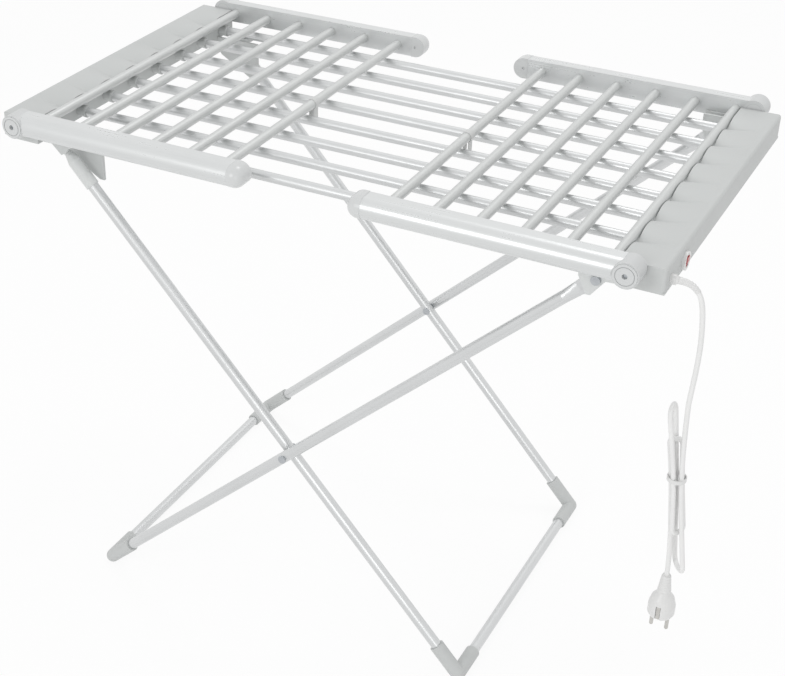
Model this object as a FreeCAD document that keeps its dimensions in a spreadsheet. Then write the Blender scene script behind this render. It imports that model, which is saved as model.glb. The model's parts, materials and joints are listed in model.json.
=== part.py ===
"""Electric heated clothes airer with folding wings and crossed legs.

X runs along the length (left box at -X, right box at +X), Y along the depth (front at -Y) and Z up.
The origin is on the floor, under the middle of the centre frame.  All lengths are millimetres.
"""
import FreeCAD, Part
import math
import os
import re
import Sketcher
from FreeCAD import Placement, Rotation, Vector

# Driving sizes: name, value, meaning
SIZES = [
    ("pivot_height", 697, "floor to the wings' pivot axis"),
    ("pivot_reach", 404, "middle of the frame to a wing's pivot axis"),
    ("tube_offset", 255, "middle of the frame to a wing's side tube"),
    ("tube_diameter", 28, "wing side tube, outside"),
    ("tube_wall", 1.2, "wing side tube wall"),
    ("bar_diameter", 12.4, "drying bar, outside"),
    ("bar_wall", 0.8, "drying bar wall"),
    ("bar_entry", 3.5, "how far a wing bar goes into its side tube"),
    ("hole_play", 0.05, "gap around a bar, tube or screw that doesn't turn"),
    ("running_play", 0.04, "radial gap around a pin that turns"),
    ("first_bar", 23.5, "wing pivot to its first bar"),
    ("wing_bar_pitch", 54, "between a wing's bars"),
    ("wing_reach", 321, "wing pivot to the middle of the end cap's dome"),
    ("centre_bar_pitch", 59.2, "between the centre bars"),
    ("centre_bar_drop", 16.6, "centre bars below the pivot axis"),
    ("bar_anchor", 18, "how far a centre bar goes into its box"),
    ("heater_diameter", 4, "heating rod in a bar"),
    ("heater_bead", 12, "length of an insulating bead on a heating rod"),
    ("heater_margin", 14, "heating rod short of the bar's end"),
    ("box_inset", 16, "box inner face, inboard of the pivot"),
    ("box_overhang", 37, "box outer face, outboard of the pivot"),
    ("box_end_gap", 1, "box end to the side tube"),
    ("box_rise", 4, "box top above the pivot axis"),
    ("box_bottom_drop", 27.5, "box underside below the pivot axis"),
    ("box_wall", 2.5, "box wall"),
    ("box_corner", 4, "rounding of the box's outer corners"),
    ("base_thickness", 2.5, "box base plate"),
    ("flute_depth", 9, "depth of the flutes at the box's inner face"),
    ("socket_length", 13, "bar socket, out of the box's inner face"),
    ("socket_diameter", 15, "bar socket"),
    ("socket_rim", 0.4, "how far a socket's rim stands out"),
    ("socket_rim_length", 4, "length of a socket's rim"),
    ("boss_diameter", 7.5, "thrust boss on the end of a box"),
    ("boss_gap", 0.3, "thrust boss to the hub"),
    ("hub_diameter", 31, "wing hub barrel"),
    ("hub_inner_gap", 1.5, "box end to the hub"),
    ("hub_face", 15, "hub face outside the side tube's axis"),
    ("hub_step", 1.6, "step around the hub's face"),
    ("hub_groove", 21.6, "middle of the round groove in the hub's face"),
    ("groove_width", 0.9, "width of that groove"),
    ("groove_depth", 0.8, "depth of that groove"),
    ("spigot_length", 30, "hub's spigot inside a tube"),
    ("screw_diameter", 4.2, "wing pivot screw"),
    ("screw_head", 6.2, "wing pivot screw head"),
    ("screw_sink", 5, "depth of the screw head's recess"),
    ("screw_anchor", 14, "wing pivot screw inside the box"),
    ("screw_gap", 3, "screw head below the hub's face, and its tip short of the hole"),
    ("cap_collar", 6, "collar of a tube's end cap"),
    ("cap_lip", 0.4, "end cap's lip outside the tube"),
    ("cap_spigot", 12, "end cap's spigot inside the tube"),
    ("dimple_diameter", 4, "dimple on an end cap"),
    ("dimple_depth", 1.5, "depth of that dimple"),
    ("clip_offset", 11, "wing clips in front of the middle"),
    ("clip_width", 11, "wing clip along its bar"),
    ("clip_wall", 0.85, "wing clip wall"),
    ("clip_gap", 6, "between the clip's two tails"),
    ("clip_tail", 14, "clip tails below the ring"),
    ("leg_diameter", 15, "leg tube, outside"),
    ("leg_wall", 1.2, "leg tube wall"),
    ("outer_leg_offset", 232.5, "middle to an outer leg"),
    ("inner_leg_offset", 216.5, "middle to an inner leg"),
    ("leg_pivot_reach", 365, "middle to the outer legs' bolts"),
    ("leg_pivot_drop", 28, "bolts below the wing pivots"),
    ("hook_reach", 367.5, "middle to the inner legs' hooks"),
    ("hook_drop", 36.5, "hooks below the wing pivots"),
    ("outer_foot_reach", 330, "middle to the outer legs' feet"),
    ("inner_foot_reach", 229, "middle to the inner legs' feet"),
    ("foot_diameter", 20, "elbow foot"),
    ("foot_flat", 0.6, "how deep the foot's underside is cut flat"),
    ("foot_arm", 50, "arm of an elbow foot"),
    ("foot_stop", 12, "tube ends from an elbow's corner"),
    ("paddle_width", 17, "flattened end of an outer leg"),
    ("paddle_thickness", 4.5, "thickness of the flattened end"),
    ("paddle_length", 27, "flattened end below the bolt"),
    ("flare_length", 22, "from flattened to round"),
    ("bolt_diameter", 6, "leg pivot bolt"),
    ("bolt_head", 11, "leg pivot bolt head"),
    ("bolt_head_height", 4, "height of a bolt's head or nut"),
    ("cheek_thickness", 3.5, "bracket cheek"),
    ("cheek_gap", 1.75, "cheek to the flattened leg"),
    ("bracket_depth", 21, "bracket cheek below the bolt"),
    ("bracket_nose", 21, "bracket cheek inboard of the bolt"),
    ("bracket_rise", 20, "bracket cheek above the bolt"),
    ("flange_thickness", 3, "bracket's back plate, and a receiver's flange under the left box"),
    ("flange_length", 42, "that flange along the box's width"),
    ("receiver_cheek", 3.4, "receiver cheek"),
    ("receiver_gap", 0.9, "outer receiver cheek to the hook sleeve"),
    ("receiver_inner_gap", 8.6, "inner receiver cheek to the hook sleeve"),
    ("receiver_rise", 3.5, "inner cheek above the box's underside"),
    ("receiver_tall", 45.5, "inner cheek below the hook"),
    ("receiver_nose", 49.5, "inner cheek inboard of the hook"),
    ("receiver_short", 13, "inner cheek around the hook"),
    ("receiver_front", 22.5, "outer cheek inboard of the hook"),
    ("receiver_lip", 7, "outer cheek below the hook"),
    ("bridge_length", 11, "bridge between a receiver's cheeks"),
    ("bridge_thickness", 5, "thickness of that bridge"),
    ("sleeve_diameter", 18, "plastic sleeve on an inner leg"),
    ("sleeve_length", 64, "that sleeve, from the hook to its lower end"),
    ("hook_head", 11, "rounded head of the hook sleeve"),
    ("hook_neck", 25, "hook to the full sleeve"),
    ("hook_head_inset", 2, "head narrower than the sleeve, each side"),
    ("peg_diameter", 7, "hook peg"),
    ("peg_reach", 2.6, "how far the peg goes into a cheek"),
    ("peg_play", 1.5, "gap around the hook peg"),
    ("rivet_diameter", 6, "crossing rivet"),
    ("rivet_head", 11, "crossing rivet head"),
    ("rivet_head_height", 2, "height of that head"),
    ("switch_diameter", 22, "round switch bezel"),
    ("switch_proud", 3.5, "bezel outside the box"),
    ("switch_body", 18.6, "switch body"),
    ("switch_depth", 13, "switch body inside the box's face"),
    ("switch_offset", 172, "switch in front of the middle"),
    ("rocker_width", 8.4, "rocker"),
    ("rocker_height", 12, "rocker"),
    ("rocker_depth", 8, "rocker axis to its crown"),
    ("rocker_crown", 1, "rise of the rocker's crown"),
    ("rocker_proud", 1, "crown outside the bezel"),
    ("rocker_tilt", 8, "rocker tilt at rest, degrees"),
    ("rocker_play", 0.3, "gap beside the rocker"),
    ("rocker_pin", 2.4, "pin that the rocker turns on"),
    ("rocker_pin_reach", 1.2, "pin past each side of the rocker"),
    ("rocker_swing_gap", 1.2, "gap above and below the rocker"),
    ("inlet_offset", 220, "cable gland in front of the middle"),
    ("inlet_drop", 16, "switch and gland below the wing pivots"),
    ("gland_diameter", 12, "cable gland"),
    ("gland_collar", 6, "length of the gland's collar"),
    ("gland_taper", 4, "length of the gland's taper"),
    ("gland_stub", 9, "gland's thread through the wall"),
    ("gland_stub_wall", 2.5, "wall of that thread"),
    ("gland_step", 1, "step from the gland's collar to its taper"),
    ("gland_lip", 0.7, "gland's lip around the cord"),
    ("cord_diameter", 6, "mains cord"),
    ("plug_neck", 26, "plug neck"),
    ("plug_neck_wall", 2, "plug neck around the cord, at its thin end"),
    ("plug_neck_flare", 3, "growth of the neck's radius"),
    ("plug_length", 60, "plug neck and body"),
    ("plug_diameter", 33, "plug body"),
    ("plug_shoulder", 27.8, "diameter of the plug's shoulder"),
    ("plug_shoulder_drop", 8, "neck to the shoulder"),
    ("plug_swell", 18, "neck to the widest part"),
    ("plug_bevel", 4, "length of the bevel around the plug's face"),
    ("plug_bevel_inset", 2, "depth of that bevel"),
    ("earth_slot_width", 6, "slot for an earth clip"),
    ("earth_slot_depth", 3, "slot for an earth clip"),
    ("earth_slot_height", 20, "slot for an earth clip"),
    ("earth_clip_width", 4.5, "earth clip"),
    ("earth_clip_thickness", 1.4, "earth clip"),
    ("earth_clip_height", 18, "earth clip"),
    ("pin_diameter", 4.8, "plug pin"),
    ("pin_length", 19, "plug pin"),
    ("pin_spacing", 19, "between the plug's pins"),
    ("box_screw_diameter", 3, "screw of a box's base"),
    ("box_screw_head", 6, "head of that screw"),
    ("box_screw_length", 11, "length of that screw"),
    ("post_diameter", 8, "screw post in a box"),
    ("screw_setback", 22, "base screws outboard of the pivot"),
    ("screw_end_margin", 13, "outer base screws from the box's end"),
    ("terminal_length", 22, "terminal block"),
    ("terminal_width", 40, "terminal block"),
    ("terminal_height", 9, "terminal block"),
    ("terminal_bore", 5, "terminal hole"),
    ("terminal_sink", 5, "depth of a terminal hole"),
    ("terminal_pitch", 12, "between terminals"),
    ("cutout_diameter", 9, "thermal cut-out"),
    ("cutout_length", 24, "thermal cut-out"),
    ("cutout_foot", 3, "height of the cut-out's foot"),
    ("overcut", 1, "how far a hole is cut past what it goes through"),
]

CENTRE_BARS = 8
WING_BARS = 6
SIDES = {"left": -1, "right": 1}
ENDS = {"front": -1, "rear": 1}
ALONG_X = Rotation(Vector(0, 1, 0), 90)
ALONG_Y = Rotation(Vector(1, 0, 0), -90)
UPRIGHT = Rotation()

# Sizes that follow from the driving ones, as formulas
FORMULAS = {
    "box_inner": "(pivot_reach - box_inset)",
    "box_outer": "(pivot_reach + box_overhang)",
    "box_end": "(tube_offset - tube_diameter / 2 - box_end_gap)",
    "box_top": "(pivot_height + box_rise)",
    "box_bottom": "(pivot_height - box_bottom_drop)",
    "cover_bottom": "(box_bottom + base_thickness)",
    "cavity_top": "(box_top - flute_depth - box_wall)",
    "centre_bar_height": "(pivot_height - centre_bar_drop)",
    "centre_bar_half": "(box_inner + bar_anchor)",
    "wing_bar_half": "(tube_offset - tube_diameter / 2 + bar_entry)",
    "bar_bore": "(bar_diameter - 2 * bar_wall)",
    "hub_inner": "(box_end + hub_inner_gap)",
    "hub_outer": "(tube_offset + hub_face)",
    "tube_bore": "(tube_diameter - 2 * tube_wall)",
    "foot_height": "(foot_diameter / 2 - foot_flat)",
    "leg_pivot_height": "(pivot_height - leg_pivot_drop)",
    "hook_height": "(pivot_height - hook_drop)",
    "outer_rise": "(leg_pivot_height - foot_height)",
    "inner_rise": "(hook_height - foot_height)",
    "outer_run": "(leg_pivot_reach + outer_foot_reach)",
    "inner_run": "(hook_reach + inner_foot_reach)",
    "outer_length": "sqrt(outer_run ^ 2 + outer_rise ^ 2)",
    "inner_length": "sqrt(inner_run ^ 2 + inner_rise ^ 2)",
    "crossing_rise": "((outer_foot_reach + inner_foot_reach)"
                     " / (outer_run / outer_rise + inner_run / inner_rise))",
    "outer_crossing": "(outer_length * crossing_rise / outer_rise)",
    "inner_crossing": "(inner_length * crossing_rise / inner_rise)",
    "crossing_x": "(outer_run * crossing_rise / outer_rise - outer_foot_reach)",
    "crossing_height": "(foot_height + crossing_rise)",
    "bracket_outer": "(outer_leg_offset + paddle_thickness / 2 + cheek_gap)",
    "bracket_inner": "(outer_leg_offset - paddle_thickness / 2 - cheek_gap - cheek_thickness)",
    "receiver_outer": "(inner_leg_offset + sleeve_diameter / 2 + receiver_gap)",
    "receiver_inner": "(inner_leg_offset - sleeve_diameter / 2 - receiver_inner_gap - receiver_cheek)",
    "inlet_height": "(pivot_height - inlet_drop)",
    "screw_line": "(pivot_reach + screw_setback)",
    "gland_thread": "(cord_diameter + 2 * gland_stub_wall)",
}

doc = FreeCAD.newDocument("HeatedAirer")
sheet = doc.addObject("Spreadsheet::Sheet", "Sizes")
for row, (alias, value, meaning) in enumerate(SIZES, 1):
    sheet.set(f"A{row}", meaning)
    sheet.set(f"B{row}", str(value))
    sheet.setAlias(f"B{row}", alias)
doc.recompute()
ALIASES = {alias for alias, _, _ in SIZES}
nodes = []


def formula(text):
    """Write a formula of named sizes as an expression on the sheet's cells."""
    def cell(match):
        word = match.group()
        if word in FORMULAS:
            return formula(FORMULAS[word])
        return "Sizes." + word if word in ALIASES else word
    return re.sub(r"[a-z][a-z_]+", cell, str(text))


def size(text):
    """Give the present value of a formula of named sizes."""
    return float(sheet.evalExpression(formula(text)))


def bind(feature, **formulas):
    """Bind a feature's properties to formulas of named sizes."""
    for name, text in formulas.items():
        feature.setExpression(name, formula(text))
    return feature


def place(feature, x=0, y=0, z=0, turn=UPRIGHT):
    """Turn a feature, then bind its position."""
    feature.Placement = Placement(Vector(), turn)
    for axis, text in zip("xyz", (x, y, z)):
        feature.setExpression(f"Placement.Base.{axis}", formula(text))
    return feature


def rod(diameter, length, x=0, y=0, z=0, turn=UPRIGHT):
    """A round rod that starts at a point and runs along a turned Z axis."""
    cylinder = doc.addObject("Part::Cylinder", "Rod")
    bind(cylinder, Radius=f"({diameter}) / 2", Height=length)
    return place(cylinder, x, y, z, turn)


def cone(first, second, length, x=0, y=0, z=0, turn=UPRIGHT):
    """A round taper between two diameters."""
    taper = doc.addObject("Part::Cone", "Taper")
    bind(taper, Radius1=f"({first}) / 2", Radius2=f"({second}) / 2", Height=length)
    return place(taper, x, y, z, turn)


def ball(diameter, x=0, y=0, z=0):
    """A ball around a point."""
    sphere = doc.addObject("Part::Sphere", "Ball")
    bind(sphere, Radius=f"({diameter}) / 2")
    return place(sphere, x, y, z)


def block(length, width, height, x=0, y=0, z=0):
    """A block from its lowest corner."""
    box = doc.addObject("Part::Box", "Block")
    bind(box, Length=length, Width=width, Height=height)
    return place(box, x, y, z)


def fuse(*shapes):
    """One solid from several that overlap."""
    joined = doc.addObject("Part::MultiFuse", "Joined")
    joined.Shapes = list(shapes)
    joined.Refine = True
    return joined


def cut(base, *tools):
    """A solid with the tools' space taken out."""
    carved = doc.addObject("Part::Cut", "Carved")
    carved.Base = base
    carved.Tool = tools[0] if len(tools) == 1 else fuse(*tools)
    return carved


def both(first, second):
    """The space that two solids share."""
    shared = doc.addObject("Part::Common", "Shared")
    shared.Base = first
    shared.Tool = second
    return shared


def group(pieces):
    """Separate solids of one kind, kept together."""
    bundle = doc.addObject("Part::Compound", "Group")
    bundle.Links = list(pieces)
    return bundle


def shaped(shape):
    """A shape made directly from the present sizes."""
    feature = doc.addObject("Part::Feature", "Shaped")
    feature.Shape = shape
    return feature


def node(name, feature):
    """Name a finished sub-part."""
    feature.Label = name
    nodes.append(feature)
    return feature


def outlined(corners, plane="XZ_Plane"):
    """A body with a closed outline, each corner bound to a pair of formulas."""
    body = doc.addObject("PartDesign::Body", "Body")
    sketch = body.newObject("Sketcher::SketchObject", "Outline")
    sketch.AttachmentSupport = [(next(f for f in body.Origin.OriginFeatures if f.Role == plane), "")]
    sketch.MapMode = "FlatFace"
    points = [Vector(size(u), size(v), 0) for u, v in corners]
    count = len(points)
    for index, point in enumerate(points):
        sketch.addGeometry(Part.LineSegment(point, points[(index + 1) % count]))
    for index in range(count):
        sketch.addConstraint(Sketcher.Constraint("Coincident", index, 2, (index + 1) % count, 1))
    for index, (u, v) in enumerate(corners):
        for kind, text in (("DistanceX", u), ("DistanceY", v)):
            number = sketch.addConstraint(Sketcher.Constraint(kind, -1, 1, index, 1, size(text)))
            sketch.renameConstraint(number, f"{kind}{index}")
            sketch.setExpression(f"Constraints.{kind}{index}", formula(text))
    doc.recompute()
    return body, sketch


def plate(corners, thickness, y):
    """A flat plate with an outline in X and Z, centred on a depth."""
    body, sketch = outlined(corners)
    pad = body.newObject("PartDesign::Pad", "Pad")
    pad.Profile = sketch
    pad.Midplane = True
    bind(pad, Length=thickness)
    return place(body, 0, y, 0)


def turned(corners):
    """A round body from half an outline: distance from its axis, and height along it."""
    body, sketch = outlined(corners)
    revolution = body.newObject("PartDesign::Revolution", "Turned")
    revolution.Profile = sketch
    revolution.ReferenceAxis = (sketch, ["V_Axis"])
    revolution.Angle = 360
    return body


def tube(diameter, bore, length, x=0, y=0, z=0, turn=UPRIGHT):
    """A straight tube."""
    outside = rod(diameter, length, x, y, z, turn)
    inside = rod(bore, length, x, y, z, turn)
    return cut(outside, inside)


def heater(half_length, x, y, z, axis):
    """A heating rod with an insulating bead near each end and in the middle, along X or Y."""
    starts = [f"-({half_length} - heater_margin)", "-heater_bead / 2",
              f"{half_length} - heater_margin - heater_bead"]

    def piece(diameter, length, start):
        if axis == "x":
            return rod(diameter, length, f"{x} + {start}", y, z, ALONG_X)
        return rod(diameter, length, x, f"{y} + {start}", z, ALONG_Y)

    core = piece("heater_diameter", f"2 * ({half_length} - heater_margin)", starts[0])
    beads = [piece("bar_bore - 2 * hole_play", "heater_bead", start) for start in starts]
    return fuse(core, *beads)


def leg_turn(feature, frame, x, y, sign):
    """Stand a leg that was made upright on its foot, leaning along X."""
    place(feature, x, y, "foot_height", Rotation(Vector(0, sign, 0), 45))
    return bind(feature, **{"Placement.Rotation.Angle": f"atan2({frame}_run; {frame}_rise)"})


def centre_bar_y(index):
    """Depth of a centre bar, counted from the rear."""
    return f"({(CENTRE_BARS - 1) / 2 - index}) * centre_bar_pitch"


def wing_bar_x(side, index):
    """Place of a wing's bar along the length, counted from its pivot."""
    return f"({side}) * (pivot_reach - first_bar - {index} * wing_bar_pitch)"


def fluted_cover_shape():
    """Right box's outside: a top of arched humps that fade out, and a rounded outer edge."""
    inner, outer = size("box_inner"), size("box_outer")
    low, top, end = size("cover_bottom"), size("box_top"), size("box_end")
    pitch, depth, corner = size("centre_bar_pitch"), size("flute_depth"), size("box_corner")
    fade = outer - 2 * corner
    creases = [(index - (CENTRE_BARS - 2) / 2) * pitch for index in range(CENTRE_BARS - 1)]
    crest = creases[-1] + pitch / 2
    arch = (pitch ** 2 / 4 + depth ** 2) / (2 * depth)

    def height(across):
        return top - arch + math.sqrt(arch ** 2 - across ** 2)

    def profile(x, arched):
        def spot(y, z):
            return Vector(x, y, z if arched else top)

        edges = [Part.LineSegment(spot(-end, top), spot(-crest, top))]
        spans = [(-crest, creases[0], -crest)]
        spans += [(a, b, (a + b) / 2) for a, b in zip(creases, creases[1:])]
        spans.append((creases[-1], crest, crest))
        for start, stop, middle in spans:
            half = (start + stop) / 2
            ends = [spot(y, height(y - middle)) for y in (start, half, stop)]
            edges.append(Part.Arc(*ends) if arched else Part.LineSegment(ends[0], ends[2]))
        edges.append(Part.LineSegment(spot(crest, top), spot(end, top)))
        floor_points = [Vector(x, end, top), Vector(x, end, low), Vector(x, -end, low), Vector(x, -end, top)]
        edges += [Part.LineSegment(a, b) for a, b in zip(floor_points, floor_points[1:])]
        return Part.Wire([edge.toShape() for edge in edges])

    humps = Part.makeLoft([profile(inner, True), profile(fade, False)], True, True)
    rim = Part.makeBox(outer - fade, 2 * end, top - low, Vector(fade, -end, low))
    soft = [e for e in rim.Edges if abs(e.CenterOfMass.x - outer) < 1e-6 and e.CenterOfMass.z > low + 1e-6]
    return humps.fuse(rim.makeFillet(corner, soft)).removeSplitter()


def mirrored(feature, side):
    """The same shape at the other end of the length, where the side is the left."""
    if side > 0:
        return feature
    mirror = doc.addObject("Part::Mirroring", "Mirror")
    mirror.Source = feature
    mirror.Normal = Vector(1, 0, 0)
    return mirror


def screw_spots():
    """Places of a box's base screws along the depth."""
    return ["-2 * centre_bar_pitch", "2 * centre_bar_pitch", "screw_end_margin - box_end",
            "box_end - screw_end_margin"]


def box_cover(side):
    """One end box's cover: fluted shell, bar sockets, thrust bosses and screw posts."""
    shell = shaped(fluted_cover_shape())
    cavity = block("box_outer - box_inner - 2 * box_wall", "2 * (box_end - box_wall)",
                   "cavity_top - cover_bottom", "box_inner + box_wall", "-(box_end - box_wall)",
                   "cover_bottom")
    hollow = cut(shell, cavity)
    extras = []
    bores = []
    socket_start = "box_inner - socket_length"
    for index in range(CENTRE_BARS):
        axis = (centre_bar_y(index), "centre_bar_height", ALONG_X)
        extras.append(rod("socket_diameter", "socket_length + box_wall", socket_start, *axis))
        extras.append(rod("socket_diameter + 2 * socket_rim", "socket_rim_length", socket_start, *axis))
        bores.append(rod("bar_diameter + 2 * hole_play", "socket_length + bar_anchor + 2 * overcut",
                         f"{socket_start} - overcut", *axis))
    boss_length = "hub_inner_gap - boss_gap"
    for end in ENDS.values():
        boss_start = "box_end - box_wall" if end > 0 else f"-box_end - ({boss_length})"
        bore_start = "box_end - screw_anchor" if end > 0 else "-box_end - hub_inner_gap"
        extras.append(rod("boss_diameter", f"box_wall + {boss_length}", "pivot_reach", boss_start,
                          "pivot_height", ALONG_Y))
        bores.append(rod("screw_diameter + 2 * hole_play", "screw_anchor + hub_inner_gap", "pivot_reach",
                         bore_start, "pivot_height", ALONG_Y))
    for y in screw_spots():
        extras.append(rod("post_diameter", "cavity_top - cover_bottom + box_wall", "screw_line", y,
                          "cover_bottom"))
        bores.append(rod("box_screw_diameter + 2 * hole_play", "box_screw_length - base_thickness + overcut",
                         "screw_line", y, "cover_bottom"))
    if side > 0:
        bores.append(rod("switch_body + 2 * hole_play", "switch_depth + overcut", "box_outer - switch_depth",
                         "-switch_offset", "inlet_height", ALONG_X))
        bores.append(rod("gland_thread + 2 * hole_play", "gland_stub + overcut", "box_outer - gland_stub",
                         "-inlet_offset", "inlet_height", ALONG_X))
    return mirrored(cut(fuse(hollow, *extras), *bores), side)


def box_base(side):
    """One end box's base plate: countersinks for its screws, and on the right room for the switch's body."""
    floor = block("box_outer - box_inner", "2 * box_end", "base_thickness", "box_inner", "-box_end",
                  "box_bottom")
    holes = []
    for y in screw_spots():
        spot = ("screw_line", y, "box_bottom")
        holes.append(rod("box_screw_diameter + 2 * hole_play", "base_thickness", *spot))
        holes.append(rod("box_screw_head + 2 * hole_play", "base_thickness / 2", *spot))
    if side > 0:
        holes.append(rod("switch_body + 8 * hole_play", "switch_depth + overcut",
                         "box_outer - switch_depth - overcut", "-switch_offset", "inlet_height", ALONG_X))
    return mirrored(cut(floor, *holes), side)


def box_screw(side, y):
    """One screw of a box's base."""
    x = f"({side}) * screw_line"
    shank = rod("box_screw_diameter", "box_screw_length", x, y, "box_bottom")
    return fuse(shank, rod("box_screw_head", "base_thickness / 2", x, y, "box_bottom"))


def side_profile(end, height, wall, length, start):
    """A length of the side tubes' section: round outside, square with a flat face towards the middle."""
    y = f"({end}) * tube_offset"
    low = f"tube_offset - tube_diameter / 2 + ({wall})" if end > 0 else "-tube_offset"
    square = block(length, f"tube_diameter / 2 - ({wall})", height, start, low,
                   f"pivot_height - ({height}) / 2")
    return fuse(rod(height, length, start, y, "pivot_height", ALONG_X), square)


def wing_tube(side, end):
    """One side tube of a wing, coped around its hub and drilled for the bars."""
    far = "pivot_reach - wing_reach + cap_collar"
    start = far if side > 0 else "-pivot_reach"
    y = f"({end}) * tube_offset"
    length = "wing_reach - cap_collar"
    straight = cut(side_profile(end, "tube_diameter", "0", length, start),
                   side_profile(end, "tube_bore", "tube_wall", length, start))
    around_hub = rod("hub_diameter + 2 * hole_play", "2 * tube_diameter", f"({side}) * pivot_reach",
                     f"{y} - tube_diameter", "pivot_height", ALONG_Y)
    drilled = [rod("bar_diameter + 2 * hole_play", "tube_diameter", wing_bar_x(side, index),
                   "tube_offset - tube_diameter" if end > 0 else "-tube_offset", "pivot_height", ALONG_Y)
               for index in range(WING_BARS)]
    return cut(straight, around_hub, *drilled)


def wing_hub(side, end):
    """One hub of a wing: a stepped and grooved barrel around the pivot and a spigot into the side tube."""
    x = f"({side}) * pivot_reach"
    y = f"({end}) * tube_offset"
    axis = ("pivot_height", ALONG_Y)
    width = "hub_outer - hub_inner - hub_step"
    barrel = rod("hub_diameter", width, x, "hub_inner" if end > 0 else f"-hub_inner - ({width})", *axis)
    face_start = "hub_outer - hub_step" if end > 0 else "-hub_outer"
    face = rod("hub_diameter - 2 * hub_step", "hub_step", x, face_start, *axis)
    length = "hub_diameter / 2 + spigot_length"
    start = f"{x} - ({length})" if side > 0 else x
    stub = rod("tube_bore - 2 * hole_play", length, start, y, "pivot_height", ALONG_X)
    past_bars = f"({end}) * (bar_entry + box_end_gap)"
    clear = block(length, "tube_diameter", "tube_diameter", start, f"{y} - tube_diameter / 2 + {past_bars}",
                  "pivot_height - tube_diameter / 2")
    bore = rod("screw_diameter + 2 * running_play", "2 * tube_diameter", x, f"{y} - tube_diameter", *axis)
    recess = rod("screw_head + 4 * running_play", "screw_sink", x,
                 "hub_outer - screw_sink" if end > 0 else "-hub_outer", *axis)
    groove = tube("hub_groove + groove_width", "hub_groove - groove_width", "groove_depth", x,
                  "hub_outer - groove_depth" if end > 0 else "-hub_outer", *axis)
    return cut(fuse(barrel, face, both(stub, clear)), bore, recess, groove)


def pivot_screw(side, end):
    """One screw that a wing turns on, from the hub's face into the box."""
    tip = "box_end - screw_anchor + screw_gap"
    seat = "hub_outer - screw_sink"
    top = "hub_outer - screw_gap"

    def span(diameter, low, high):
        start = low if end > 0 else f"-({high})"
        return rod(diameter, f"({high}) - ({low})", f"({side}) * pivot_reach", start, "pivot_height", ALONG_Y)

    return fuse(span("screw_diameter", tip, top), span("screw_head", f"{seat} + running_play", top))


def wing_end_cap(side, end):
    """One cap in the inner end of a side tube: domed outside, flat and round-ended towards the middle."""
    middle = f"({side}) * (pivot_reach - wing_reach)"
    y = f"({end}) * tube_offset"
    rim = "tube_diameter + 2 * cap_lip"
    start = middle if side > 0 else f"{middle} - cap_collar"
    collar = side_profile(end, rim, "-cap_lip", "cap_collar", start)
    length = "cap_collar + cap_spigot"
    spigot = rod("tube_bore - 2 * hole_play", length, middle if side > 0 else f"{middle} - ({length})", y,
                 "pivot_height", ALONG_X)
    flat = f"tube_offset - ({rim}) / 2"
    low = flat if end > 0 else f"-({flat}) - dimple_depth"
    dimple = rod("dimple_diameter", "dimple_depth", middle, low, "pivot_height", ALONG_Y)
    drum = rod(rim, f"({rim}) / 2", middle, flat if end > 0 else "-tube_offset", "pivot_height", ALONG_Y)
    edge = f"{middle} - ({rim})" if side > 0 else middle
    under = f"pivot_height - ({rim}) / 2"
    inward = block(rim, rim, rim, edge, f"{y} - ({rim}) / 2", under)
    outside = block(rim, f"({rim}) / 2", rim, edge, y if end > 0 else f"{y} - ({rim}) / 2", under)
    dome = both(ball(rim, middle, y, "pivot_height"), outside)
    return cut(fuse(both(drum, inward), dome, collar, spigot), dimple)


def wing_clip(side):
    """The omega clip on a wing's innermost bar: an open ring and two tails."""
    x = wing_bar_x(side, WING_BARS - 1)
    y = "-clip_offset - clip_width / 2"
    bore = "bar_diameter + 2 * running_play"
    outside = f"{bore} + 2 * clip_wall"
    ring = rod(outside, "clip_width", x, y, "pivot_height", ALONG_Y)
    drop = f"({outside}) / 2 + clip_tail"
    tails = block("clip_gap + 2 * clip_wall", "clip_width", drop, f"{x} - clip_gap / 2 - clip_wall", y,
                  f"pivot_height - ({drop})")
    slot = block("clip_gap", "clip_width", drop, f"{x} - clip_gap / 2", y, f"pivot_height - ({drop})")
    return cut(fuse(ring, tails), slot, rod(bore, "clip_width", x, y, "pivot_height", ALONG_Y))


def flared_end():
    """Short length of an outer leg between the round tube and the flattened end, made upright."""
    low = size("outer_length - paddle_length - flare_length")
    high = size("outer_length - paddle_length")
    round_end = Part.Wire(Part.Circle(Vector(0, 0, low), Vector(0, 0, 1), size("leg_diameter / 2")).toShape())
    flat = Part.Ellipse(Vector(0, 0, high), size("paddle_width / 2"), size("paddle_thickness / 2"))
    return shaped(Part.makeLoft([round_end, Part.Wire(flat.toShape())], True))


def outer_leg(end):
    """One outer leg: a tube with a flattened end for the bolt and a hole for the rivet."""
    length = "outer_length - foot_stop - paddle_length - flare_length"
    straight = tube("leg_diameter", "leg_diameter - 2 * leg_wall", length, 0, 0, "foot_stop")
    flat = block("paddle_width", "paddle_thickness", "paddle_length", "-paddle_width / 2",
                 "-paddle_thickness / 2", "outer_length - paddle_length")
    rounded = rod("paddle_width", "paddle_thickness", 0, "-paddle_thickness / 2", "outer_length", ALONG_Y)
    across = ("2 * leg_diameter", 0, "-leg_diameter")
    bolt_hole = rod("bolt_diameter + 2 * running_play", *across, "outer_length", ALONG_Y)
    rivet_hole = rod("rivet_diameter + 2 * hole_play", *across, "outer_crossing", ALONG_Y)
    leg = cut(fuse(straight, flared_end(), flat, rounded), bolt_hole, rivet_hole)
    return leg_turn(leg, "outer", "-outer_foot_reach", f"({end}) * outer_leg_offset", 1)


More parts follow.
